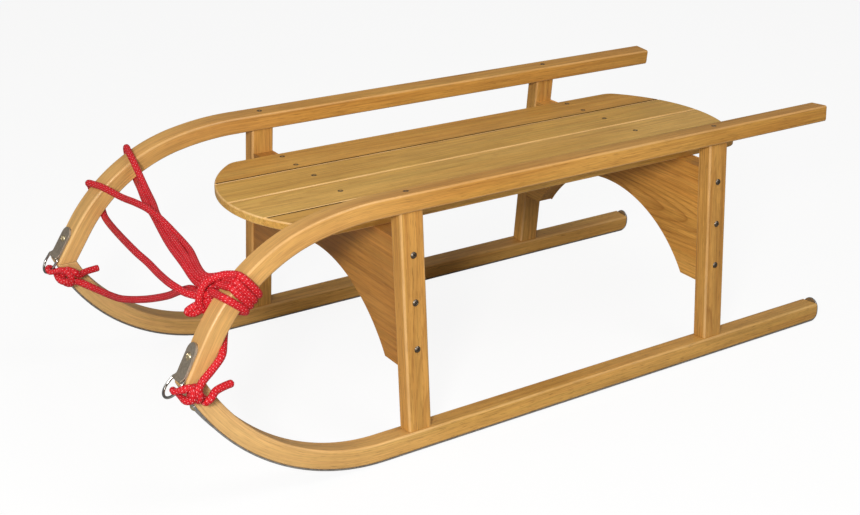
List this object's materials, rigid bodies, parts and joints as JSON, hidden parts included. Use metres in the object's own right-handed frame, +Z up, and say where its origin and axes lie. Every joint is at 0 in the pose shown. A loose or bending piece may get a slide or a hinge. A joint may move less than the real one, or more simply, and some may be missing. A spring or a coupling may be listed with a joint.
{
  "type": "wooden sledge",
  "caption": "Bentwood sledge with upswept rails joined to steel-shod runners, a low slatted seat on arched cross boards, and a braided tow rope on hinged rings.",
  "frame": {"origin": "on the ground, on the sledge's centreline, under the middle of its overall length; the point midway between the front and rear posts lies 48 mm behind it", "axes": "+Z up; -Y towards the upswept nose, +Y towards the rear; +X towards the left rail as the rider faces the nose"},
  "size_m": [0.4341, 0.9447, 0.3029],
  "materials": {
    "rail_wood": "varnished, fine long grain following the bend",
    "runner_wood": "varnished, light tan, fine flecks",
    "seat_wood": "varnished honey gold",
    "frame_wood": "varnished, strong grain",
    "dowel_wood": "bare beech, glued",
    "shoe_steel": "bare rolled steel",
    "strap_steel": "dull zinc",
    "ring_chrome": "bright plated wire",
    "dark_screws": "dark oxide",
    "bright_screws": "yellow zinc",
    "red_rope": "braided, with pale flecks"
  },
  "bodies": {
    "frame": {"runner_left": "runner_wood", "runner_right": "runner_wood", "rail_left": "rail_wood", "rail_right": "rail_wood", "mitre_dowels": "dowel_wood", "post_front_left": "frame_wood", "post_front_right": "frame_wood", "post_rear_left": "frame_wood", "post_rear_right": "frame_wood", "arch_front": "frame_wood", "arch_rear": "frame_wood", "seat_slat_outer_left": "seat_wood", "seat_slat_inner_left": "seat_wood", "seat_slat_inner_right": "seat_wood", "seat_slat_outer_right": "seat_wood", "shoe_left": "shoe_steel", "shoe_right": "shoe_steel", "ring_strap_left": "strap_steel", "ring_strap_right": "strap_steel", "seat_screws": "dark_screws", "rail_screws": "dark_screws", "post_screws": "dark_screws", "strap_screws": "bright_screws", "shoe_screws": "bright_screws", "tow_rope": "red_rope"},
    "left_ring": {"ring_left": "ring_chrome", "rope_knot_left": "red_rope"},
    "right_ring": {"ring_right": "ring_chrome", "rope_knot_right": "red_rope"}
  },
  "joints": [
    {"name": "left_ring_swing", "type": "hinge", "parent": "frame", "child": "left_ring", "pos_m": [0.18581, -0.45431, 0.15812], "axis": [-0.9962, 0, -0.0872], "range_deg": [-20, 60]},
    {"name": "right_ring_swing", "type": "hinge", "parent": "frame", "child": "right_ring", "pos_m": [-0.18581, -0.45431, 0.15812], "axis": [-0.9962, 0, 0.0872], "range_deg": [-8, 60]}
  ]
}
